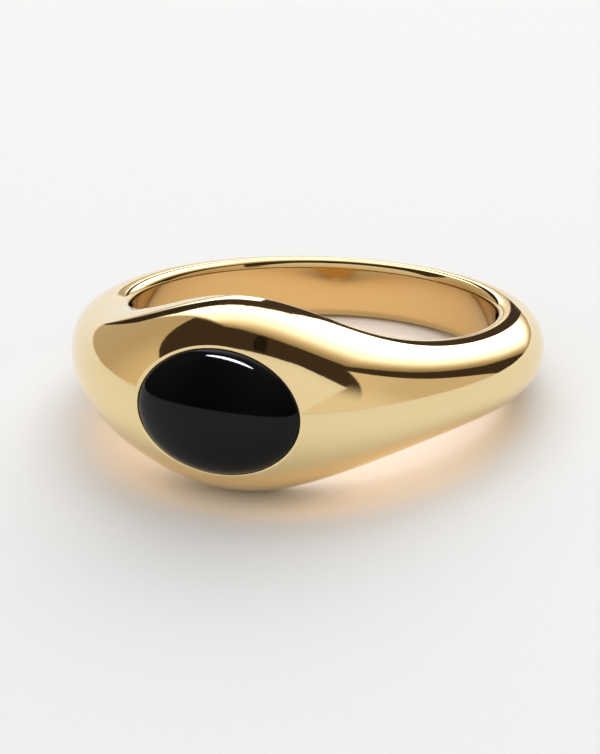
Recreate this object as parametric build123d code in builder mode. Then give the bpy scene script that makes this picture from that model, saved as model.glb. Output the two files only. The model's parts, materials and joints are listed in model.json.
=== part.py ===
from build123d import *
import os
from math import asin, cos, degrees, exp, hypot, pi, radians, sin

# Signet ring: a cast band whose shoulders swell into a domed head, with an oval cabochon set
# flush in the head. It lies on its side, as it rests on a table: +Z is up, Z = 0 is the table,
# the head faces -Y, and the origin is on the table under the middle of the ring.
# All sizes are in millimetres and all angles in degrees. An angle round the finger counts
# from the middle of the head, 0, to the back of the shank, 180.

# ---- Band: the finger bore and the section at the head, the shoulders and the shank ----
bore_radius = 8.65          # US size 7
head_width = 9.0            # along the finger, at the middle of the head
head_depth = 4.8            # from the bore to the top of the head
shoulder_width = 4.1        # what the head's swell rises from
shoulder_depth = 3.1
shank_width = 2.9           # at the back of the finger
shank_depth = 1.8
width_spread = 37.0         # how far round the finger the head's extra width reaches
depth_spread = 43.0         # how far round the finger the head's extra depth reaches
depth_plateau = 2.8         # exponent that keeps the head's depth even across the stone
crown_depth_power = 2.1     # superellipse exponents of the domed section, 2 is an ellipse
crown_width_power = 2.2
edge_round = 0.45           # comfort rounding between the bore and the sides
edge_land = 0.05            # flat left on each side between that rounding and the crown

# ---- Cabochon and its seat ----
stone_length = 8.0          # round the finger
stone_width = 6.0           # along the finger
girdle_height = 1.25        # the stone's straight edge
dome_height = 1.4           # the stone's top above its girdle
base_bevel = 0.15           # round the stone's flat base
stone_clearance = 0.04      # between the stone and the wall of its seat
lip_overlap = 0.1           # how far the burnished lip covers the stone's edge
lip_height = 0.3            # metal above the girdle where the crown round the lip is lowest
bedding_thickness = 0.1     # adhesive film under the stone

side_depth = edge_round + edge_land
opening_length = stone_length - 2 * lip_overlap
opening_width = stone_width - 2 * lip_overlap


def width_at(angle):
    """Width of the band along the finger."""
    taper = (1 + cos(radians(angle))) / 2
    swell = exp(-((angle / width_spread) ** 2))
    return shank_width + (shoulder_width - shank_width) * taper + (head_width - shoulder_width) * swell


def depth_at(angle):
    """Depth of the band from the bore to the crown."""
    taper = (1 + cos(radians(angle))) / 2
    swell = exp(-(abs(angle / depth_spread) ** depth_plateau))
    return shank_depth + (shoulder_depth - shank_depth) * taper + (head_depth - shoulder_depth) * swell


def crown_point(angle, turn):
    """Point of the domed section as distances outwards and along the finger, turn in -90 to 90."""
    rise = (depth_at(angle) - side_depth) * cos(radians(turn)) ** (2 / crown_depth_power)
    reach = width_at(angle) / 2 * abs(sin(radians(turn))) ** (2 / crown_width_power)
    return bore_radius + side_depth + rise, reach if turn > 0 else -reach


# ---- Levels of the stone, outwards from the bore's axis ----
# The crown is lowest beside the stone or at its ends, whichever the head's sizes give.
end_turn = asin(opening_length / 2 / (bore_radius + head_depth))
end_level = (bore_radius + depth_at(degrees(end_turn))) * cos(end_turn)
side_share = 1 - (opening_width / head_width) ** crown_width_power
side_level = bore_radius + side_depth + (head_depth - side_depth) * side_share ** (1 / crown_depth_power)
girdle_radius = min(end_level, side_level) - lip_height
base_radius = girdle_radius - girdle_height
seat_radius = base_radius - bedding_thickness


# ---- Rest: the lower edge of the head and the lower edge of the shank touch the table ----
fine_turns = [turn / 4 for turn in range(-359, 360)]
shank_crown = [crown_point(180, turn) for turn in fine_turns]
head_crown = [crown_point(0, turn) for turn in fine_turns]


def head_drop(tilt):
    """How far the head's lower edge reaches below the bore's centre, tilted by radians."""
    inner_edge = head_width / 2 - edge_round
    return inner_edge * cos(tilt) + edge_round - (bore_radius + edge_round) * sin(tilt)


def shank_drop(tilt):
    """How far the shank's lower edge reaches below the bore's centre, tilted by radians."""
    return max(out * sin(tilt) - along * cos(tilt) for out, along in shank_crown)


least_tilt, most_tilt = 0.0, pi / 4
for halving in range(40):
    tilt = (least_tilt + most_tilt) / 2
    if head_drop(tilt) > shank_drop(tilt):
        least_tilt = tilt
    else:
        most_tilt = tilt

back_reach = max(out * cos(tilt) + along * sin(tilt) for out, along in shank_crown)
head_reach = max(out * cos(tilt) - along * sin(tilt) for out, along in head_crown)
dome_reach = girdle_radius * cos(tilt) + hypot(dome_height * cos(tilt), stone_width / 2 * sin(tilt))
front_reach = max(head_reach, dome_reach)
bore_centre = Vector(0, (front_reach - back_reach) / 2, head_drop(tilt))

finger_plane = Plane(origin=bore_centre, x_dir=(1, 0, 0), z_dir=(0, sin(tilt), cos(tilt)))


def outward(angle):
    """Direction away from the finger at an angle from the head."""
    return finger_plane.x_dir * sin(radians(angle)) - finger_plane.y_dir * cos(radians(angle))


def section_plane(angle):
    """Plane through the finger axis, its x outwards and its y along the finger."""
    return Plane(
        origin=bore_centre, x_dir=outward(angle), z_dir=outward(angle).cross(finger_plane.z_dir)
    )


def seat_plane(radius):
    """Plane square to the stone at a radius from the finger axis, facing out of the head."""
    return Plane(origin=bore_centre + outward(0) * radius, x_dir=(1, 0, 0), z_dir=outward(0))


def stone_form(growth):
    """The cabochon's girdle and dome, grown all round its outline by a clearance."""
    with BuildPart() as dome:
        Sphere(radius=1, arc_size1=0, align=(Align.CENTER, Align.CENTER, Align.MIN))
        scale(by=(stone_length / 2 + growth, stone_width / 2 + growth, dome_height + growth))
    with BuildPart() as form:
        with BuildSketch(seat_plane(base_radius)):
            Ellipse(stone_length / 2 + growth, stone_width / 2 + growth)
        extrude(amount=girdle_height)
        with Locations(seat_plane(girdle_radius)):
            add(dome.part)
    return form.part


# ---- Band ----
# Half the ring is lofted through sections that run past both ends, so that the mirrored half
# meets it smoothly at the middle of the head and at the back of the shank.
section_angles = [-24, -12, 0, 12, 24, 36, 48, 62, 80, 100, 120, 140, 160, 180, 200]
crown_turns = [-90, -84, -75, -63, -48, -32, -16, 0, 16, 32, 48, 63, 75, 84, 90]
core_radius = bore_radius / 2

with BuildPart() as band:
    for angle in section_angles:
        half_width = width_at(angle) / 2
        with BuildSketch(section_plane(angle)):
            with BuildLine():
                crown = Spline(
                    *[crown_point(angle, turn) for turn in crown_turns],
                    tangents=[(1, 0), (-1, 0)],
                )
                Polyline(crown @ 1, (core_radius, half_width), (core_radius, -half_width), crown @ 0)
            make_face()
    loft()
    split(bisect_by=Plane.YZ, keep=Keep.TOP)
    mirror(about=Plane.YZ)
    with BuildSketch(finger_plane):
        Circle(bore_radius)
    extrude(amount=head_width, both=True, mode=Mode.SUBTRACT)
    bore_rims = band.faces().filter_by(GeomType.CYLINDER).edges()
    bore_rims = bore_rims.filter_by(GeomType.LINE, reverse=True)
    fillet(bore_rims, radius=edge_round)
    with BuildSketch(seat_plane(seat_radius)):
        Ellipse(stone_length / 2 + stone_clearance, stone_width / 2 + stone_clearance)
    extrude(amount=bedding_thickness, mode=Mode.SUBTRACT)
    add(stone_form(stone_clearance), mode=Mode.SUBTRACT)
    with BuildSketch(seat_plane(girdle_radius)):
        Ellipse(opening_length / 2, opening_width / 2)
    extrude(amount=head_depth, mode=Mode.SUBTRACT)
band.part.label = "band"

# ---- Cabochon ----
with BuildPart() as cabochon:
    add(stone_form(0))
    base_edges = cabochon.faces().sort_by(Axis(bore_centre, outward(0)))[0].edges()
    chamfer(base_edges, length=base_bevel)
cabochon.part.label = "cabochon"

# ---- Adhesive film that beds the stone on its seat ----
with BuildPart() as stone_bedding:
    with BuildSketch(seat_plane(seat_radius)):
        Ellipse(stone_length / 2, stone_width / 2)
    extrude(amount=bedding_thickness)
stone_bedding.part.label = "stone_bedding"

os.makedirs("parts", exist_ok=True)
export_step(band.part, "parts/band.step")
export_step(cabochon.part, "parts/cabochon.step")
export_step(stone_bedding.part, "parts/stone_bedding.step")
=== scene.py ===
"""Looks of a polished gold signet ring with a flush-set oval onyx cabochon.

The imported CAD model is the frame. The band and the stone are rebuilt here from the same rules as the
CAD solids, fine enough for a mirror polish, and stand for their CAD nodes. Everything is in metres.
"""

import json
import logging
import math
from dataclasses import dataclass, field
from enum import Enum
from typing import Any, Callable

import bpy
import numpy as np
from mathutils import Matrix, Quaternion, Vector


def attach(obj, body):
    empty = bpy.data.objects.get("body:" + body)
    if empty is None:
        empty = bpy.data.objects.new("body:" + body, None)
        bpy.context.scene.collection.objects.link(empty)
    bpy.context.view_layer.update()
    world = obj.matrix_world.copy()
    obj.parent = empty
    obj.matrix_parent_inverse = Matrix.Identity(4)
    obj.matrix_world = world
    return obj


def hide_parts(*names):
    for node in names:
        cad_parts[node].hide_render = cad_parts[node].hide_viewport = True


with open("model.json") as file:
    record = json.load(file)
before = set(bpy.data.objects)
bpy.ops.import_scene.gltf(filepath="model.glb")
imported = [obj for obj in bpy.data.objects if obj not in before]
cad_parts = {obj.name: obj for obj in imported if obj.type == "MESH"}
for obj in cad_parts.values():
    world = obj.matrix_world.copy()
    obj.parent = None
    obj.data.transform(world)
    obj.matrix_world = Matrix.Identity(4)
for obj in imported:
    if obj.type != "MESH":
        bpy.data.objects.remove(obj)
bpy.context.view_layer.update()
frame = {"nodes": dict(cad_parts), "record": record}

LOG = logging.getLogger("signet_ring")
MM = 0.001
ROOM_COLOUR = "#40342C"  # what the metal mirrors where nothing is lit
STEP = 1e-4  # small step, in radians, that finds a slope
NEXT_TO_NOTHING = 1e-15  # keeps a division by a length from failing

Array = np.ndarray
Surface = Callable[[Array, Array], Array]


def hex_to_linear(code: str) -> tuple[float, float, float, float]:
    """Turns an sRGB hex colour into a linear one.

    Args:
        code: Six hex digits with a leading hash, such as "#F2DEAF".

    Returns:
        Red, green, blue and alpha, each from 0 to 1.
    """
    shares = [int(code[place : place + 2], 16) / 255 for place in (1, 3, 5)]
    linear = [share / 12.92 if share <= 0.04045 else ((share + 0.055) / 1.055) ** 2.4 for share in shares]
    return (*linear, 1.0)


def add_node(tree: bpy.types.NodeTree, kind: str, settings: dict[str, Any], links: dict[Any, Any]) -> Any:
    """Adds a node to a tree.

    Args:
        tree: Node tree of a material, a light or the world.
        kind: Blender's identifier of the node, such as "ShaderNodeTexNoise".
        settings: Values by name: of the node's own properties, or else of its inputs.
        links: Output sockets that feed the inputs, by the input's name or number.

    Returns:
        The new node.
    """
    node = tree.nodes.new(kind)
    for name, value in settings.items():
        if isinstance(name, str) and hasattr(node, name):
            setattr(node, name, value)
        else:
            node.inputs[name].default_value = value
    for name, socket in links.items():
        tree.links.new(socket, node.inputs[name])
    return node


def new_material(name: str) -> tuple[bpy.types.Material, bpy.types.NodeTree]:
    """Makes an empty node material.

    Args:
        name: The material's name.

    Returns:
        The material and its cleared node tree.
    """
    material = bpy.data.materials.new(name)
    material.use_nodes = True
    material.node_tree.nodes.clear()
    return material, material.node_tree


# ---- Finishes ----


@dataclass(frozen=True)
class PolishedGoldPlate:
    """Yellow gold plate, buffed to a mirror, with painted shade: a deeper colour inside the bore."""

    bore_centre: tuple[float, float, float]
    pale: str = "#F1DBA9"
    warm: str = "#EFD7A2"
    # colour of the painted shade inside the bore
    bore: str = "#CFB078"
    bore_shade_from_mm: float = 5.0  # painted shade starts on a face that looks back at the bore's centre from this far
    bore_shade_full_mm: float = 8.0  # and the face has the painted bore shade in full at this distance
    roughness_clean: float = 0.035
    roughness_worn: float = 0.075
    haze_mm: float = 2.5  # size of the faint uneven patches that hand buffing leaves
    haze_range: tuple[float, float] = (0.15, 0.4)  # of the two noises multiplied
    hairline_mm: float = 0.06  # width of a hairline, drawn coarser than real ones so that they show
    hairline_stretch: float = 9.0  # how many times longer than wide it is
    hairline_height_mm: float = 0.0004

    def build(self) -> bpy.types.Material:
        """Builds the material.

        Returns:
            Mirror gold: the eye sees the studio in it, softened a little by haze and hairlines.
        """
        material, tree = new_material("yellow_gold_plate_mirror_buffed")
        place = add_node(tree, "ShaderNodeTexCoord", {}, {}).outputs["Object"]
        patches = add_node(
            tree, "ShaderNodeTexNoise",
            {"Scale": 1 / (self.haze_mm * MM), "Detail": 3.0, "Roughness": 0.6},
            {"Vector": place},
        ).outputs["Fac"]
        stretched = add_node(
            tree, "ShaderNodeMapping", {"Scale": (1.0, 1.0, self.hairline_stretch)}, {"Vector": place}
        )
        hairlines = add_node(
            tree, "ShaderNodeTexNoise",
            {"Scale": 1 / (self.hairline_stretch * self.hairline_mm * MM), "Detail": 4.0, "Roughness": 0.7},
            {"Vector": stretched.outputs[0]},
        ).outputs["Fac"]
        outside = add_node(
            tree, "ShaderNodeMix",
            {"data_type": "RGBA", 6: hex_to_linear(self.pale), 7: hex_to_linear(self.warm)},
            {0: patches},
        ).outputs[2]
        # Painted shade: faces that look back at the bore's centre take the darker bore colour.
        surface = add_node(tree, "ShaderNodeNewGeometry", {}, {})
        outward = add_node(
            tree, "ShaderNodeVectorMath", {"operation": "SUBTRACT", 1: self.bore_centre},
            {0: surface.outputs["Position"]},
        )
        facing = add_node(
            tree, "ShaderNodeVectorMath", {"operation": "DOT_PRODUCT"},
            {0: outward.outputs[0], 1: surface.outputs["Normal"]},
        )
        inside = add_node(
            tree, "ShaderNodeMapRange",
            {
                "From Min": -self.bore_shade_from_mm * MM, "From Max": -self.bore_shade_full_mm * MM,
                "To Min": 0.0, "To Max": 1.0,
            },
            {"Value": facing.outputs["Value"]},
        ).outputs[0]
        colour = add_node(
            tree, "ShaderNodeMix", {"data_type": "RGBA", 7: hex_to_linear(self.bore)},
            {0: inside, 6: outside},
        ).outputs[2]
        haze = add_node(tree, "ShaderNodeMath", {"operation": "MULTIPLY"}, {0: patches, 1: hairlines})
        roughness = add_node(
            tree, "ShaderNodeMapRange",
            {
                "From Min": self.haze_range[0], "From Max": self.haze_range[1],
                "To Min": self.roughness_clean, "To Max": self.roughness_worn,
            },
            {"Value": haze.outputs[0]},
        ).outputs[0]
        relief = add_node(
            tree, "ShaderNodeBump", {"Strength": 1.0, "Distance": self.hairline_height_mm * MM},
            {"Height": hairlines},
        ).outputs[0]
        shader = add_node(
            tree, "ShaderNodeBsdfPrincipled", {"Metallic": 1.0},
            {"Base Color": colour, "Roughness": roughness, "Normal": relief},
        )
        add_node(tree, "ShaderNodeOutputMaterial", {}, {"Surface": shader.outputs[0]})
        return material


@dataclass(frozen=True)
class PolishedOnyx:
    """Dyed black onyx, tumbled and polished as a cabochon."""

    body: str = "#060607"
    band: str = "#0B0A09"
    ior: float = 1.54
    specular: float = 0.17  # less than a bare polish gives: the stone is waxed
    roughness: float = 0.03
    roughness_soft: float = 0.06
    band_mm: float = 3.0  # width of the faint layers that onyx grows in

    def build(self) -> bpy.types.Material:
        """Builds the material.

        Returns:
            Black gloss: deep and almost even, with the studio thin and sharp on its dome.
        """
        material, tree = new_material("black_onyx_polished")
        place = add_node(tree, "ShaderNodeTexCoord", {}, {}).outputs["Object"]
        layers = add_node(
            tree, "ShaderNodeTexWave", {"Scale": 1 / (self.band_mm * MM * math.tau), "Distortion": 2.0},
            {"Vector": place},
        ).outputs["Fac"]
        colour = add_node(
            tree, "ShaderNodeMix",
            {"data_type": "RGBA", 6: hex_to_linear(self.body), 7: hex_to_linear(self.band)},
            {0: layers},
        ).outputs[2]
        roughness = add_node(
            tree, "ShaderNodeMapRange", {"To Min": self.roughness, "To Max": self.roughness_soft},
            {"Value": layers},
        ).outputs[0]
        shader = add_node(
            tree, "ShaderNodeBsdfPrincipled", {"IOR": self.ior, "Specular IOR Level": self.specular},
            {"Base Color": colour, "Roughness": roughness},
        )
        add_node(tree, "ShaderNodeOutputMaterial", {}, {"Surface": shader.outputs[0]})
        return material


@dataclass(frozen=True)
class CuredAdhesive:
    """Two-part jeweller's epoxy, cured under the stone."""

    pale: str = "#CFC7B0"
    dark: str = "#B7AD92"
    grain_mm: float = 0.4  # size of the clouds and tiny bubbles left by mixing
    roughness_glossy: float = 0.25
    roughness_dull: float = 0.5

    def build(self) -> bpy.types.Material:
        """Builds the material.

        Returns:
            Cloudy straw-coloured film, which nobody sees unless the stone is taken out.
        """
        material, tree = new_material("epoxy_cured_film")
        place = add_node(tree, "ShaderNodeTexCoord", {}, {}).outputs["Object"]
        clouds = add_node(
            tree, "ShaderNodeTexNoise", {"Scale": 1 / (self.grain_mm * MM), "Detail": 5.0}, {"Vector": place}
        ).outputs["Fac"]
        colour = add_node(
            tree, "ShaderNodeMix",
            {"data_type": "RGBA", 6: hex_to_linear(self.pale), 7: hex_to_linear(self.dark)},
            {0: clouds},
        ).outputs[2]
        roughness = add_node(
            tree, "ShaderNodeMapRange",
            {"To Min": self.roughness_glossy, "To Max": self.roughness_dull}, {"Value": clouds},
        ).outputs[0]
        shader = add_node(
            tree, "ShaderNodeBsdfPrincipled", {}, {"Base Color": colour, "Roughness": roughness}
        )
        add_node(tree, "ShaderNodeOutputMaterial", {}, {"Surface": shader.outputs[0]})
        return material


@dataclass(frozen=True)
class StudioPaper:
    """Smooth matte backdrop paper."""

    sheet: str = "#DADCDE"
    fibre: str = "#D5D7DA"
    fibre_mm: float = 0.5  # length of the fibres, drawn coarser than real ones so that they show
    fibre_stretch: float = 3.0  # how many times longer than wide a fibre is
    fibre_height_mm: float = 0.006
    roughness: float = 0.9
    specular: float = 0.2

    def build(self) -> bpy.types.Material:
        """Builds the material.

        Returns:
            Pale and matte, with a fine tooth that keeps the shadow from looking printed.
        """
        material, tree = new_material("backdrop_paper_matte")
        place = add_node(tree, "ShaderNodeTexCoord", {}, {}).outputs["Object"]
        laid = add_node(
            tree, "ShaderNodeMapping", {"Scale": (1.0, self.fibre_stretch, 1.0)}, {"Vector": place}
        )
        fibres = add_node(
            tree, "ShaderNodeTexNoise",
            {"Scale": 1 / (self.fibre_mm * MM), "Detail": 4.0, "Roughness": 0.6},
            {"Vector": laid.outputs[0]},
        ).outputs["Fac"]
        colour = add_node(
            tree, "ShaderNodeMix",
            {"data_type": "RGBA", 6: hex_to_linear(self.sheet), 7: hex_to_linear(self.fibre)},
            {0: fibres},
        ).outputs[2]
        relief = add_node(
            tree, "ShaderNodeBump", {"Strength": 0.6, "Distance": self.fibre_height_mm * MM},
            {"Height": fibres},
        ).outputs[0]
        shader = add_node(
            tree, "ShaderNodeBsdfPrincipled",
            {"Roughness": self.roughness, "Specular IOR Level": self.specular},
            {"Base Color": colour, "Normal": relief},
        )
        add_node(tree, "ShaderNodeOutputMaterial", {}, {"Surface": shader.outputs[0]})
        return material


# ---- Meshes ----


@dataclass
class MeshDraft:
    """Vertices, their normals and faces, gathered patch by patch before a mesh is made."""

    points: list[Array] = field(default_factory=list)
    normals: list[Array] = field(default_factory=list)
    faces: list[Array] = field(default_factory=list)
    count: int = 0

    def add_points(self, points: Array, normals: Array) -> Array:
        """Adds vertices.

        Args:
            points: Places, in millimetres, in an array whose last axis is x, y, z.
            normals: Outward normals of the same shape.

        Returns:
            The new vertices' numbers, in the shape of points without its last axis.
        """
        flat = points.reshape(-1, 3)
        numbers = np.arange(self.count, self.count + len(flat)).reshape(points.shape[:-1])
        self.points.append(flat)
        self.normals.append(normals.reshape(-1, 3))
        self.count += len(flat)
        return numbers

    def add_grid(self, numbers: Array) -> None:
        """Adds the four-sided faces between neighbours of a grid of vertex numbers."""
        corners = [numbers[:-1, :-1], numbers[1:, :-1], numbers[1:, 1:], numbers[:-1, 1:]]
        self.faces.append(np.stack([corner.ravel() for corner in corners], axis=-1))

    def build(self, name: str, place: Callable[[Array], Array], turn: Callable[[Array], Array]) -> Any:
        """Makes the object.

        Args:
            name: The object's name.
            place: Turns points of the ring's frame, in millimetres, into the row frame, in metres.
            turn: Turns directions of the ring's frame into the row frame.

        Returns:
            The object, smooth shaded with the exact normals of its surfaces.
        """
        points = place(np.concatenate(self.points))
        normals = turn(np.concatenate(self.normals))
        normals /= np.linalg.norm(normals, axis=1, keepdims=True)
        faces = np.concatenate(self.faces)
        corners = points[faces]
        crossed = np.cross(corners[:, 2] - corners[:, 0], corners[:, 3] - corners[:, 1])
        facing = np.sum(crossed * normals[faces].sum(axis=1), axis=-1)
        faces = np.where(facing[:, None] < 0, faces[:, ::-1], faces)
        mesh = bpy.data.meshes.new(name)
        mesh.from_pydata(points.tolist(), [], [list(dict.fromkeys(face)) for face in faces.tolist()])
        mesh.validate()
        mesh.shade_smooth()
        mesh.normals_split_custom_set_from_vertices(normals.tolist())
        piece = bpy.data.objects.new(name, mesh)
        bpy.context.scene.collection.objects.link(piece)
        return piece


def slopes(surface: Surface, first: Array, second: Array, inside: Array) -> Array:
    """Finds the unit normals of a surface.

    Args:
        surface: Gives points for two arrays of parameters.
        first: First parameters.
        second: Second parameters.
        inside: Points that the normals face away from.

    Returns:
        A normal for each pair of parameters.
    """
    along = surface(first + STEP, second) - surface(first - STEP, second)
    across = surface(first, second + STEP) - surface(first, second - STEP)
    normal = np.cross(along, across)
    normal /= np.maximum(np.linalg.norm(normal, axis=-1, keepdims=True), NEXT_TO_NOTHING)
    outward = np.sum(normal * (surface(first, second) - inside), axis=-1, keepdims=True)
    return normal * np.where(outward < 0, -1.0, 1.0)


# ---- The ring ----


@dataclass
class RingFrame:
    """Where the ring lies: its finger axis is local z and its head faces local -y."""

    centre: Vector
    finger: Vector
    bore_radius: float  # millimetres

    @classmethod
    def from_record(cls, record: dict[str, Any]) -> "RingFrame":
        """Reads the finger bore.

        Args:
            record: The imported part's record.

        Returns:
            The ring's frame.
        """
        bore = next(mount for mount in record["mounts"] if mount["name"] == "finger_bore")
        return cls(Vector(bore["pos_m"]), Vector(bore["axis"]).normalized(), bore["dims"]["r_mm"])

    def turn(self, directions: Array) -> Array:
        """Turns directions.

        Args:
            directions: Directions in the ring's frame, one to a row.

        Returns:
            The same directions in the row frame.
        """
        along = self.finger
        sideways = Vector((1, 0, 0))
        back = along.cross(sideways)
        return directions @ np.array([sideways, back, along])

    def place(self, points: Array) -> Array:
        """Turns points of the ring's frame, in millimetres, into the row frame, in metres."""
        return self.turn(points) * MM + np.array(self.centre)


@dataclass
class Cabochon:
    """The stone: a bevelled base, a straight girdle and an elliptical dome. Sizes in millimetres."""

    ring: RingFrame
    length: float = 8.0
    width: float = 6.0
    girdle_height: float = 1.25
    dome_height: float = 1.4
    base_bevel: float = 0.15
    dome_inset: float = 0.06  # ledge between the girdle and the dome, under the lip
    lip_overlap: float = 0.1  # how far the burnished lip covers the stone's edge
    girdle_radius: float = 0.0  # from the finger axis, settled by the band's crown
    turns: int = 240
    rings: int = 72
    first_ring: float = 1e-3  # radians from the top of the dome, which is one vertex

    def half_sizes(self, growth: float = 0.0) -> tuple[float, float, float]:
        """Half length, half width and height of the dome, grown by a clearance."""
        growth -= self.dome_inset
        return self.length / 2 + growth, self.width / 2 + growth, self.dome_height + growth

    def build(self) -> Any:
        """Builds the closed stone.

        Returns:
            The stone's object.
        """
        long, wide, _ = self.half_sizes()
        tall = self.dome_height
        draft = MeshDraft()
        round_angles = np.linspace(0, math.tau, self.turns + 1)
        heights = np.linspace(math.pi / 2 - self.first_ring, 0, self.rings)

        def dome(turn: Array, rise: Array) -> Array:
            """Points of the dome at turns round it and rises over its foot."""
            reach = np.cos(rise)
            depth = -(self.girdle_radius + tall * np.sin(rise))
            return np.stack([long * np.cos(turn) * reach, depth, wide * np.sin(turn) * reach], axis=-1)

        turn, rise = np.meshgrid(round_angles[:-1], heights)
        core = np.array([0.0, -self.girdle_radius + self.girdle_height / 2, 0.0])
        crown = draft.add_points(dome(turn, rise), slopes(dome, turn, rise, core))
        turn = round_angles[:-1]
        dome_foot = dome(turn, 0 * turn)
        long, wide = self.length / 2, self.width / 2
        outward = np.stack([np.cos(turn) / long, 0 * turn, np.sin(turn) / wide], axis=-1)
        outward /= np.linalg.norm(outward, axis=-1, keepdims=True)
        edge = np.stack([long * np.cos(turn), 0 * turn, wide * np.sin(turn)], axis=-1)
        wall_top = edge - [0, self.girdle_radius, 0]
        base = -(self.girdle_radius - self.girdle_height)
        wall_foot = edge + [0, base - self.base_bevel, 0]
        bevel_foot = edge - outward * self.base_bevel + [0, base, 0]
        under = np.zeros_like(outward) + [0, 1.0, 0]
        rims = [
            (dome_foot, -under), (wall_top, -under), (wall_top, outward), (wall_foot, outward),
            (wall_foot, outward + under), (bevel_foot, outward + under), (bevel_foot, under),
        ]
        bands = [draft.add_points(points, normals) for points, normals in rims]
        apex = draft.add_points(np.array([[0, -(self.girdle_radius + tall), 0]]), np.array([[0, -1.0, 0]]))
        middle = draft.add_points(np.array([[0, base, 0]]), np.array([[0, 1.0, 0]]))
        closed = [np.append(ring, ring[0]) for ring in crown]
        draft.add_grid(np.array([np.full(self.turns + 1, apex[0]), *closed]))
        for upper, lower in zip(bands[::2], [*bands[1::2], np.full(self.turns, middle[0])]):
            draft.add_grid(np.array([np.append(upper, upper[0]), np.append(lower, lower[0])]))
        return draft.build("onyx_cabochon", self.ring.place, self.ring.turn)

    def dress(self, piece: Any, finish: PolishedOnyx) -> None:
        """Gives the stone its finish and its place in the frame.

        Args:
            piece: The stone's object.
            finish: The finish.
        """
        piece.data.materials.append(finish.build())
        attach(piece, "root")
        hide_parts("cabochon")


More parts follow.
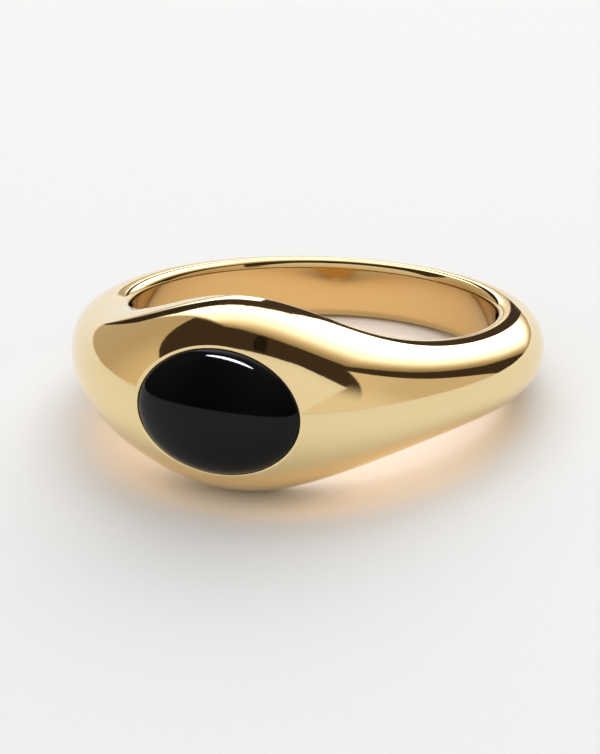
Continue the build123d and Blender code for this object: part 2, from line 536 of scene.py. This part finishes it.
@dataclass
class Band:
    """The casting: shank, shoulders, domed head, burnished lip and seat. Sizes in millimetres."""

    ring: RingFrame
    stone: Cabochon
    head_width: float = 9.0
    head_depth: float = 4.8
    shoulder_width: float = 4.1
    shoulder_depth: float = 3.1
    shank_width: float = 2.9
    shank_depth: float = 1.8
    width_spread: float = math.radians(37.0)
    depth_spread: float = math.radians(43.0)
    depth_plateau: float = 2.8
    depth_power: float = 2.1  # superellipse exponents of the domed section, 2 is an ellipse
    width_power: float = 2.2
    edge_round: float = 0.45
    edge_land: float = 0.05
    stone_clearance: float = 0.04
    lip_height: float = 0.3  # metal above the girdle where the crown round the lip is lowest
    lip_round: float = 0.18  # burnished rounding of the lip
    bedding: float = 0.1
    turns: int = 512  # faces round the finger
    crown_steps: int = 128  # faces over the crown
    patch_turns: int = 30  # faces from the head's middle to each end of the patch round the stone
    patch_steps: int = 38  # faces from the head's middle to each side of that patch
    patch_rings: int = 26
    patch_bias: float = 1.3  # above 1 the patch's rings crowd towards the lip
    lip_steps: int = 10
    pocket_steps: int = 6  # loops under the lip, down to the girdle
    pocket_drop: float = 0.01  # least distance of the first of them below the lip
    rounding_steps: int = 14
    bore_steps: int = 24
    settling_rounds: int = 30  # of the search for the crown over a place

    @property
    def side_depth(self) -> float:
        """Depth of the flat sides, from the bore to where the crown starts."""
        return self.edge_round + self.edge_land

    def width_at(self, angle: Array) -> Array:
        """Finds the width along the finger.

        Args:
            angle: Angles round the finger from the head.

        Returns:
            The band's width there.
        """
        taper = (1 + np.cos(angle)) / 2
        swell = np.exp(-((self.wrapped(angle) / self.width_spread) ** 2))
        extra = self.head_width - self.shoulder_width
        return self.shank_width + (self.shoulder_width - self.shank_width) * taper + extra * swell

    def depth_at(self, angle: Array) -> Array:
        """Finds the depth from the bore to the crown.

        Args:
            angle: Angles round the finger from the head.

        Returns:
            The band's depth there.
        """
        taper = (1 + np.cos(angle)) / 2
        swell = np.exp(-(np.abs(self.wrapped(angle) / self.depth_spread) ** self.depth_plateau))
        extra = self.head_depth - self.shoulder_depth
        return self.shank_depth + (self.shoulder_depth - self.shank_depth) * taper + extra * swell

    @staticmethod
    def wrapped(angle: Array) -> Array:
        """The same angle between minus and plus half a turn."""
        return (angle + math.pi) % math.tau - math.pi

    def at(self, angle: Array, out: Array, along: Array) -> Array:
        """Point at an angle round the finger, a depth from the bore and a place along the finger."""
        radius = self.ring.bore_radius + out
        return np.stack([radius * np.sin(angle), -radius * np.cos(angle), along], axis=-1)

    def crown(self, angle: Array, turn: Array) -> tuple[Array, Array]:
        """Finds the domed crown.

        Args:
            angle: Angles round the finger from the head.
            turn: Turns over the section, from minus to plus a quarter.

        Returns:
            Its points and outward normals.
        """
        rise = np.abs(np.cos(turn)) ** (2 / self.depth_power)
        reach = np.abs(np.sin(turn)) ** (2 / self.width_power)
        side = np.sign(turn)
        depth, half_width = self.depth_at(angle) - self.side_depth, self.width_at(angle) / 2
        radius = self.ring.bore_radius + self.side_depth + depth * rise
        steeper = (self.depth_at(angle + STEP) - self.depth_at(angle - STEP)) / (2 * STEP * depth)
        wider = (self.width_at(angle + STEP) - self.width_at(angle - STEP)) / (4 * STEP * half_width)
        outward = self.depth_power * rise ** (self.depth_power - 1) / depth
        along = self.width_power * reach ** (self.width_power - 1) / half_width * side
        onward = -(
            self.depth_power * rise**self.depth_power * steeper
            + self.width_power * reach**self.width_power * wider
        ) / radius
        normal = np.stack(
            [
                outward * np.sin(angle) + onward * np.cos(angle),
                -outward * np.cos(angle) + onward * np.sin(angle),
                along,
            ],
            axis=-1,
        )
        normal /= np.linalg.norm(normal, axis=-1, keepdims=True)
        return self.at(angle, radius - self.ring.bore_radius, half_width * reach * side), normal

    def settle_stone(self) -> None:
        """Sets the stone as deep as the lowest crown round its lip allows."""
        long, wide = (size - self.stone.lip_overlap for size in self.stone.half_sizes()[:2])
        turn = math.asin(long / (self.ring.bore_radius + self.head_depth))
        end_level = (self.ring.bore_radius + self.depth_at(turn)) * math.cos(turn)
        share = 1 - (2 * wide / self.head_width) ** self.width_power
        crown_depth = (self.head_depth - self.side_depth) * share ** (1 / self.depth_power)
        side_level = self.ring.bore_radius + self.side_depth + crown_depth
        self.stone.girdle_radius = float(min(end_level, side_level)) - self.lip_height

    def rounding(self, angle: Array, turn: Array) -> Array:
        """Finds the comfort rounding between a side and the bore.

        Args:
            angle: Angles round the finger from the head.
            turn: Turns over the rounding, from 0 at the side to a quarter at the bore.

        Returns:
            Its points on the upper side.
        """
        radius = self.edge_round
        along = self.width_at(angle) / 2 - radius * (1 - np.cos(turn))
        return self.at(angle, radius * (1 - np.sin(turn)), along)

    def crown_parameters(self, sideways: Array, along: Array) -> tuple[Array, Array]:
        """Finds the crown point over a place beside the middle of the head.

        Args:
            sideways: Distances round the finger, along x.
            along: Distances along the finger.

        Returns:
            The crown's angle and turn at those places.
        """
        angle = np.arcsin(sideways / (self.ring.bore_radius + self.head_depth))
        for _ in range(self.settling_rounds):
            share = np.clip(np.abs(2 * along / self.width_at(angle)), 0, 1) ** (self.width_power / 2)
            turn = np.arcsin(share) * np.sign(along)
            angle = np.arcsin(sideways / np.linalg.norm(self.crown(angle, turn)[0][..., :2], axis=-1))
        return angle, turn

    def build(self) -> Any:
        """Builds the closed band.

        Returns:
            The band's object.
        """
        draft = MeshDraft()
        angles = np.linspace(-math.pi, math.pi, self.turns, endpoint=False)
        sections = np.linspace(-math.pi / 2, math.pi / 2, self.crown_steps + 1)
        angle, turn = np.meshgrid(angles, sections, indexing="ij")
        shell = draft.add_points(*self.crown(angle, turn))
        self.add_crown(draft, shell)
        self.add_seat(draft, shell, angles, sections)
        self.add_inside(draft, shell, angles)
        return draft.build("signet_band", self.ring.place, self.ring.turn)

    def add_crown(self, draft: MeshDraft, shell: Array) -> None:
        """Adds the crown's faces, leaving out the patch round the stone.

        Args:
            draft: The band's draft.
            shell: Vertex numbers of the crown.
        """
        middle_turn, middle_step = self.turns // 2, self.crown_steps // 2
        low_turn, high_turn = middle_turn - self.patch_turns, middle_turn + self.patch_turns
        low_step, high_step = middle_step - self.patch_steps, middle_step + self.patch_steps
        draft.add_grid(np.vstack([shell[high_turn:], shell[: low_turn + 1]]))
        draft.add_grid(shell[low_turn : high_turn + 1, : low_step + 1])
        draft.add_grid(shell[low_turn : high_turn + 1, high_step:])

    def add_seat(self, draft: MeshDraft, shell: Array, angles: Array, sections: Array) -> None:
        """Adds the patch round the stone, the burnished lip, the pocket and the seat.

        Args:
            draft: The band's draft.
            shell: Vertex numbers of the crown.
            angles: The crown's angles round the finger.
            sections: The crown's turns over the section.
        """
        middle_turn, middle_step = self.turns // 2, self.crown_steps // 2
        long_side = np.arange(-self.patch_turns, self.patch_turns)
        short_side = np.arange(-self.patch_steps, self.patch_steps)
        turn_numbers = np.concatenate(
            [long_side, 0 * short_side + self.patch_turns, -long_side, 0 * short_side - self.patch_turns]
        )
        step_numbers = np.concatenate(
            [0 * long_side - self.patch_steps, short_side, 0 * long_side + self.patch_steps, -short_side]
        )
        outer = shell[middle_turn + turn_numbers, middle_step + step_numbers]
        outer_angle = angles[middle_turn + turn_numbers]
        outer_turn = sections[middle_step + step_numbers]
        bearing = np.arctan2(step_numbers / self.patch_steps, turn_numbers / self.patch_turns)
        reach = self.lip_round - self.stone.lip_overlap
        long, wide = self.stone.length / 2 + reach, self.stone.width / 2 + reach
        rim_angle, rim_turn = self.crown_parameters(long * np.cos(bearing), wide * np.sin(bearing))
        share = np.linspace(1, 0, self.patch_rings + 1)[1:, None] ** self.patch_bias
        patch = draft.add_points(
            *self.crown(
                rim_angle + (outer_angle - rim_angle) * share, rim_turn + (outer_turn - rim_turn) * share
            )
        )
        self.add_loops(draft, np.vstack([outer[None], patch]))

        rim, upward = self.crown(rim_angle, rim_turn)
        inward = np.cross(np.roll(rim, -1, axis=0) - np.roll(rim, 1, axis=0), upward)
        inward /= np.linalg.norm(inward, axis=-1, keepdims=True)
        inward *= np.where(np.sum(inward * rim * [1, 0, 1], axis=-1, keepdims=True) > 0, -1.0, 1.0)
        down = np.array([0, 1.0, 0])
        bend = np.arccos(np.clip(inward @ down, -1, 1))
        loops = [patch[-1]]
        for swing in np.linspace(0, 1, self.lip_steps + 1)[1:, None] * bend:
            turned = upward * np.cos(swing)[:, None] + inward * np.sin(swing)[:, None]
            place = rim + self.lip_round * (
                upward * (np.cos(swing) - 1)[:, None] + inward * np.sin(swing)[:, None]
            )
            loops.append(draft.add_points(self.clear_of_stone(place), turned))
        wall = self.clear_of_stone(place)
        facing = inward * [1, 0, 1]
        facing /= np.linalg.norm(facing, axis=-1, keepdims=True)
        long, wide, tall = self.stone.half_sizes(self.stone_clearance)
        start = np.hypot(wall[:, 0] / long, wall[:, 2] / wide)
        for part in np.linspace(0, 1, self.pocket_steps):
            scale = start + (1 - start) * part
            level = -(self.stone.girdle_radius + tall * np.sqrt(np.clip(1 - scale**2, 0, 1)))
            level = np.maximum(level, wall[:, 1] + self.pocket_drop * (1 + part))
            under = np.stack([wall[:, 0] * scale / start, level, wall[:, 2] * scale / start], axis=-1)
            loops.append(draft.add_points(under, facing + [0, part, 0]))
        seat_level = -(self.stone.girdle_radius - self.stone.girdle_height - self.bedding)
        foot = under * [1, 0, 1] + [0, seat_level, 0]
        loops.append(draft.add_points(foot, facing))
        self.add_loops(draft, np.array(loops))
        floor_rim = draft.add_points(foot, 0 * foot - down)
        middle = draft.add_points(np.array([[0, seat_level, 0]]), np.array([[0, -1.0, 0]]))
        self.add_loops(draft, np.array([floor_rim, np.full(len(floor_rim), middle[0])]))

    def clear_of_stone(self, points: Array) -> Array:
        """Moves points that come too near the dome out to its clearance.

        Args:
            points: Points of the lip.

        Returns:
            The points, each at its own level.
        """
        long, wide, tall = self.stone.half_sizes(self.stone_clearance)
        height = np.clip((-points[:, 1] - self.stone.girdle_radius) / tall, 0, 1)
        reach = np.hypot(points[:, 0] / long, points[:, 2] / wide)
        growth = np.maximum(np.sqrt(1 - height**2) / reach, 1.0)[:, None]
        return points * np.where([1, 0, 1], growth, 1.0)

    def add_inside(self, draft: MeshDraft, shell: Array, angles: Array) -> None:
        """Adds the flat sides, the comfort roundings and the bore.

        Args:
            draft: The band's draft.
            shell: Vertex numbers of the crown.
            angles: The crown's angles round the finger.
        """
        turns = np.linspace(0, math.pi / 2, self.rounding_steps)
        angle, turn = np.meshgrid(angles, turns, indexing="ij")
        core = self.at(angle, self.edge_round + 0 * turn, 0 * turn)
        points = self.rounding(angle, turn)
        normals = slopes(self.rounding, angle, turn, core)
        flip = np.array([1, 1, -1])
        upper = draft.add_points(points, normals)
        lower = draft.add_points(points * flip, normals * flip)
        reach = points[:, -1, 2][:, None] * np.linspace(1, -1, self.bore_steps)[None, 1:-1]
        wall_angle = np.repeat(angles[:, None], self.bore_steps - 2, axis=1)
        wall_points = self.at(wall_angle, 0 * reach, reach)
        wall = draft.add_points(wall_points, -wall_points * [1, 1, 0])
        section = np.hstack([shell[:, -1:], upper, wall, lower[:, ::-1], shell[:, :1]])
        self.add_loops(draft, section.T)

    @staticmethod
    def add_loops(draft: MeshDraft, loops: Array) -> None:
        """Adds the faces between closed loops of vertices."""
        draft.add_grid(np.hstack([loops, loops[:, :1]]))

    def dress(self, piece: Any, finish: PolishedGoldPlate) -> None:
        """Gives the band its finish and its place in the frame.

        Args:
            piece: The band's object.
            finish: The finish.
        """
        piece.data.materials.append(finish.build())
        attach(piece, "root")
        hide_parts("band")


@dataclass
class Bedding:
    """The adhesive film, which keeps its CAD solid."""

    node: str = "stone_bedding"

    def dress(self, finish: CuredAdhesive) -> None:
        """Gives the CAD node the film's finish.

        Args:
            finish: The finish.
        """
        film = frame["nodes"][self.node]
        film.data.materials.clear()
        film.data.materials.append(finish.build())


# ---- The studio ----


class Lights(Enum):
    """Which rays see a board."""

    EVERYTHING = "everything"  # lights the whole scene
    BESIDE_STONE = "beside_stone"  # lights all but the stone, as a polarised board does
    MIRRORED = "mirrored"  # is only mirrored, and neither lights nor shades


@dataclass
class Board:
    """A board or softbox, given by its corners' bearings as the ring sees them.

    Bearings are an azimuth from -Y towards +X and an elevation, in degrees. Each edge runs from a
    corner to the next one, and has an angle over which the board's coverage fades in, and another
    over which its light grows to the radiance of the middle.
    """

    name: str
    lights: Lights
    colour: str
    edge_radiance: float
    radiance: float
    corners: list[tuple[float, float]]
    fades: list[float]
    spreads: list[float]
    distance: float = 0.9
    edge_colour: str = ""  # of the light near the edges, or else the same colour
    white_from: float = 0.4  # share of the way to full light where the edge's colour has gone

    @staticmethod
    def bearing(azimuth: float, elevation: float) -> Vector:
        """Direction at an azimuth and an elevation in degrees."""
        east, rise = math.radians(azimuth), math.radians(elevation)
        return Vector((math.cos(rise) * math.sin(east), -math.cos(rise) * math.cos(east), math.sin(rise)))

    def build(self) -> Any:
        """Builds the board, a fan of faces that the camera doesn't see.

        Returns:
            The board's object.
        """
        corners = [self.bearing(*corner) for corner in self.corners]
        middle = sum(corners, Vector()).normalized()
        places = [tuple(place * self.distance) for place in (middle, *corners)]
        count = len(corners)
        fan = [(0, corner + 1, (corner + 1) % count + 1) for corner in range(count)]
        mesh = bpy.data.meshes.new(self.name)
        mesh.from_pydata(places, [], fan)
        mesh.materials.append(self.finish(corners, middle))
        board = bpy.data.objects.new(self.name, mesh)
        bpy.context.scene.collection.objects.link(board)
        board.visible_camera = False
        if self.lights is Lights.MIRRORED:
            board.visible_diffuse = board.visible_shadow = False
        return board

    def finish(self, corners: list[Vector], middle: Vector) -> bpy.types.Material:
        """Makes the board's glow.

        Args:
            corners: Directions of the corners.
            middle: Direction of the board's middle.

        Returns:
            The material: even cloth or card that fades towards its edges.
        """
        material, tree = new_material(self.name)
        place = add_node(tree, "ShaderNodeNewGeometry", {}, {}).outputs["Position"]
        toward = add_node(
            tree, "ShaderNodeVectorMath", {"operation": "NORMALIZE"}, {0: place}
        ).outputs[0]
        shares: dict[str, Any] = {}
        edges = zip(corners, corners[1:] + corners[:1], self.fades, self.spreads)
        for corner, following, fade, spread in edges:
            inward = corner.cross(following).normalized()
            inward *= math.copysign(1, inward.dot(middle))
            distance = add_node(
                tree, "ShaderNodeVectorMath", {"operation": "DOT_PRODUCT", 1: inward}, {0: toward}
            ).outputs["Value"]
            for kind, span in (("coverage", fade), ("light", spread)):
                share = add_node(
                    tree, "ShaderNodeMapRange",
                    {"interpolation_type": "SMOOTHSTEP", "From Max": math.sin(math.radians(span))},
                    {"Value": distance},
                ).outputs[0]
                if kind in shares:
                    share = add_node(
                        tree, "ShaderNodeMath", {"operation": "MINIMUM"}, {0: shares[kind], 1: share}
                    ).outputs[0]
                shares[kind] = share
        strength = add_node(
            tree, "ShaderNodeMapRange", {"To Min": self.edge_radiance, "To Max": self.radiance},
            {"Value": shares["light"]},
        ).outputs[0]
        whiteness = add_node(
            tree, "ShaderNodeMapRange", {"From Max": self.white_from}, {"Value": shares["light"]}
        ).outputs[0]
        edge = hex_to_linear(self.edge_colour or self.colour)
        colour = add_node(
            tree, "ShaderNodeMix", {"data_type": "RGBA", 6: edge, 7: hex_to_linear(self.colour)},
            {0: whiteness},
        ).outputs[2]
        glow = add_node(tree, "ShaderNodeEmission", {}, {"Color": colour, "Strength": strength}).outputs[0]
        clear = add_node(tree, "ShaderNodeBsdfTransparent", {}, {}).outputs[0]
        shader = add_node(tree, "ShaderNodeMixShader", {}, {0: shares["coverage"], 1: clear, 2: glow})
        add_node(tree, "ShaderNodeOutputMaterial", {}, {"Surface": shader.outputs[0]})
        return material


@dataclass
class Lamp:
    """An elliptical lamp that shines on chosen objects only and is never seen by the camera."""

    name: str
    place: Vector
    away: Vector  # direction from what it lights to the lamp
    size: tuple[float, float]
    radiance: float
    colour: str
    shades: bool  # whether things in its way throw shadows
    roll: float  # degrees about its own beam

    def build(self) -> Any:
        """Builds the lamp.

        Returns:
            The lamp's object.
        """
        light = bpy.data.lights.new(self.name, "AREA")
        light.shape = "ELLIPSE"
        light.size, light.size_y = self.size
        # An even lamp gives off pi times its radiance for each unit of its area.
        light.energy = self.radiance * math.pi * math.pi * self.size[0] * self.size[1] / 4
        light.color = hex_to_linear(self.colour)[:3]
        light.use_shadow = self.shades
        lamp = bpy.data.objects.new(self.name, light)
        rolled = Quaternion((0, 0, 1), math.radians(self.roll))
        lamp.rotation_euler = (self.away.to_track_quat("Z", "Y") @ rolled).to_euler()
        lamp.location = self.place
        lamp.visible_camera = False
        bpy.context.scene.collection.objects.link(lamp)
        return lamp


@dataclass
class Studio:
    """Floor, boards, lamps, dark surroundings and camera. Lengths in metres, angles in degrees."""

    ring: RingFrame
    floor_radius: float = 1.1
    floor_sides: int = 96
    fill_height: float = 0.9
    fill_size: tuple[float, float] = (1.4, 1.4)
    fill_radiance: float = 1.8
    fill_colour: str = "#FDFEFF"
    bounce_height: float = 0.001
    bounce_forward: float = 0.0024
    bounce_size: tuple[float, float] = (0.0198, 0.0212)
    bounce_radiance: float = 0.52
    bounce_colour: str = "#FFC684"
    strip_bearing: tuple[float, float] = (-48.0, 78.0)
    strip_distance: float = 0.45
    strip_size: tuple[float, float] = (0.33, 0.07)
    strip_radiance: float = 85.0
    strip_colour: str = "#EEF3FF"
    lamp_roll: float = 25.0
    camera_azimuth: float = 21.193
    camera_elevation: float = 25.909
    camera_roll: float = -3.015
    camera_distance: float = 0.20402
    camera_lens: float = 205.09  # millimetres, on a sensor 36 mm wide
    camera_sensor: float = 36.0
    camera_clip: tuple[float, float] = (0.01, 10.0)
    aim_from_bore: tuple[float, float, float] = (-0.402, -1.001, -1.622)  # millimetres

    def build_floor(self) -> Any:
        """Builds the paper floor.

        Returns:
            The floor's object.
        """
        rim = [
            (self.floor_radius * math.cos(turn), self.floor_radius * math.sin(turn), 0.0)
            for turn in np.linspace(0, math.tau, self.floor_sides, endpoint=False)
        ]
        mesh = bpy.data.meshes.new("paper_floor")
        mesh.from_pydata(rim, [], [list(range(len(rim)))])
        mesh.materials.append(StudioPaper().build())
        floor = bpy.data.objects.new("paper_floor", mesh)
        bpy.context.scene.collection.objects.link(floor)
        return floor

    def build_boards(self) -> list[tuple[Board, Any]]:
        """Builds the softbox, the pale boards, the dark flags and the arm over the ring.

        Returns:
            Each board with its object.
        """
        boards = [
            Board(
                "softbox", Lights.EVERYTHING, "#FFFFFF", 0.33, 3.2,
                [(-137, -1), (152, -1), (133, 20), (100, 54), (104, 68), (125, 79), (180, 84), (-117, 66)],
                [1.0, 1.5, 1.5, 2.0, 2.0, 2.0, 2.0, 3.0],
                [16.0, 30.0, 40.0, 70.0, 40.0, 30.0, 26.0, 8.0], 1.1, "#FFE3B8",
            ),
            Board(
                "front_board", Lights.BESIDE_STONE, "#FFFDFA", 0.82, 0.9,
                [(25.3, -1), (75, 35.5), (52, 60), (-8, 79), (-66, 60), (-66, -1)],
                [1.5, 1.2, 1.5, 1.5, 1.0, 1.0], [1.0, 10.0, 10.0, 10.0, 1.0, 1.0], 0.7,
            ),
            Board(
                "left_board", Lights.BESIDE_STONE, "#FFE8C8", 0.74, 0.53,
                [(-64.5, -1), (-64.5, 29.7), (-132, 41), (-141, -2)],
                [0.5, 0.7, 1.5, 0.5], [40.0, 1.0, 1.0, 1.0], 0.75,
            ),
            Board(
                "right_board", Lights.BESIDE_STONE, "#FFEBD0", 0.78, 0.68,
                [(58, -1), (91, 51), (127, -1)],
                [0.5, 1.0, 0.5], [25.0, 1.0, 1.0], 0.95,
            ),
            Board(
                "low_board", Lights.BESIDE_STONE, "#FFF3E2", 0.86, 0.86,
                [(24, -1), (24, 2.5), (74.5, 37.2), (98, -1)],
                [1.0, 1.0, 30.0, 0.5], [1.0, 1.0, 1.0, 1.0], 0.85,
            ),
            Board(
                "near_flag", Lights.MIRRORED, "#30271F", 1.0, 1.0,
                [(-141, -2), (-136, 12), (-139, 26), (-152, 33), (-152, 12.5)],
                [0.1, 0.5, 4.0, 0.5, 1.0], [0.1] * 5, 0.6,
            ),
            Board(
                "middle_flag", Lights.MIRRORED, ROOM_COLOUR, 1.0, 1.0,
                [(-150.5, 10.5), (-150, 32), (-161, 36), (-161, 17)],
                [0.5, 4.0, 0.5, 1.0], [0.1] * 4, 0.62,
            ),
            Board(
                "far_flag", Lights.MIRRORED, ROOM_COLOUR, 1.0, 1.0,
                [(-159.5, 17), (-159.5, 36), (-170, 35.5), (-176, 31), (-176, 18), (-168, 17)],
                [0.5, 4.0, 4.0, 1.0, 1.0, 1.0], [0.1] * 6, 0.6,
            ),
            Board(
                "flag_stand", Lights.MIRRORED, ROOM_COLOUR, 1.0, 1.0,
                [(-168, -3), (-164.5, 8), (-164, 19), (-176, 19), (-172.5, -3)],
                [0.5, 0.5, 0.5, 0.5, 0.1], [0.1] * 5, 0.58,
            ),
            Board(
                "boom_arm", Lights.MIRRORED, "#241C16", 1.0, 1.0,
                [(-17, 72), (16, 72), (40, 84), (165, 83), (-130, 83), (-45, 84)],
                [1.0] * 6, [0.1] * 6, 0.5,
            ),
        ]
        return [(board, board.build()) for board in boards]

    def build_lamps(self) -> dict[str, Any]:
        """Builds the lamps that each light one thing.

        Returns:
            A wide overhead fill and a warm lamp for the light that the gold throws on the paper, and
            a strip for the stone, by name.
        """
        centre, up = self.ring.centre, Vector((0, 0, 1))
        strip_way = Board.bearing(*self.strip_bearing)
        bounce_place = Vector((centre.x, centre.y - self.bounce_forward, self.bounce_height))
        lamps = [
            Lamp(
                "overhead_fill", Vector((centre.x, centre.y, self.fill_height)), up,
                self.fill_size, self.fill_radiance, self.fill_colour, True, self.lamp_roll,
            ),
            Lamp(
                "gold_bounce", bounce_place, up,
                self.bounce_size, self.bounce_radiance, self.bounce_colour, False, self.lamp_roll,
            ),
            Lamp(
                "stone_strip", centre + strip_way * self.strip_distance, strip_way,
                self.strip_size, self.strip_radiance, self.strip_colour, False, self.lamp_roll,
            ),
        ]
        return {lamp.name: lamp.build() for lamp in lamps}

    def build_surroundings(self) -> None:
        """Makes the unlit room: dark and slightly warm."""
        world = bpy.data.worlds.new("dark_studio")
        world.use_nodes = True
        world.node_tree.nodes.clear()
        room = add_node(
            world.node_tree, "ShaderNodeBackground",
            {"Color": hex_to_linear(ROOM_COLOUR), "Strength": 1.0}, {},
        )
        add_node(world.node_tree, "ShaderNodeOutputWorld", {}, {"Surface": room.outputs[0]})
        bpy.context.scene.world = world
        bpy.context.scene.view_settings.view_transform = "Standard"

    def build_camera(self) -> Any:
        """Builds the camera, which looks down at the head from its right.

        Returns:
            The camera's object.
        """
        azimuth, elevation = math.radians(self.camera_azimuth), math.radians(self.camera_elevation)
        level = math.cos(elevation)
        back = Vector((math.sin(azimuth) * level, -math.cos(azimuth) * level, math.sin(elevation)))
        right = Vector((math.cos(azimuth), math.sin(azimuth), 0))
        upward = back.cross(right)
        turned = Matrix((right, upward, back)).transposed() @ Matrix.Rotation(
            math.radians(self.camera_roll), 3, "Z"
        )
        aim = self.ring.centre + Vector(self.aim_from_bore) * MM
        data = bpy.data.cameras.new("camera")
        data.lens = self.camera_lens
        data.sensor_width = self.camera_sensor
        data.clip_start, data.clip_end = self.camera_clip
        camera = bpy.data.objects.new("camera", data)
        camera.matrix_world = Matrix.Translation(aim + back * self.camera_distance) @ turned.to_4x4()
        bpy.context.scene.collection.objects.link(camera)
        bpy.context.scene.camera = camera
        return camera

    @staticmethod
    def light_only(name: str, lights: list[Any], lit: list[Any]) -> None:
        """Lets lights and boards light only some objects.

        Args:
            name: Name of the group of objects.
            lights: Lamps and boards.
            lit: The objects that they light.
        """
        receivers = bpy.data.collections.new(name)
        for thing in lit:
            receivers.objects.link(thing)
        for light in lights:
            light.light_linking.receiver_collection = receivers


def main() -> None:
    """Builds the ring and the studio around it."""
    logging.basicConfig(level=logging.INFO, format="%(name)s: %(message)s")
    ring = RingFrame.from_record(frame["record"])
    studio = Studio(ring)
    studio.build_camera()
    studio.build_surroundings()
    stone = Cabochon(ring)
    band_shape = Band(ring, stone)
    band_shape.settle_stone()
    cabochon = stone.build()
    stone.dress(cabochon, PolishedOnyx())
    LOG.info("stone: %d faces, girdle at %.4f mm", len(cabochon.data.polygons), stone.girdle_radius)
    band = band_shape.build()
    band_shape.dress(band, PolishedGoldPlate(bore_centre=tuple(ring.centre)))
    LOG.info("band: %d faces", len(band.data.polygons))
    Bedding().dress(CuredAdhesive())
    LOG.info("bedding: CAD node with its own finish")
    floor = studio.build_floor()
    boards = studio.build_boards()
    apart = [made for board, made in boards if board.lights is Lights.BESIDE_STONE]
    studio.light_only("all_but_stone", apart, [band, floor])
    lamps = studio.build_lamps()
    studio.light_only("paper_only", [lamps["overhead_fill"], lamps["gold_bounce"]], [floor])
    studio.light_only("stone_only", [lamps["stone_strip"]], [cabochon])
    LOG.info("studio: floor and %d boards", len(boards))


if __name__ == "__main__":
    main()
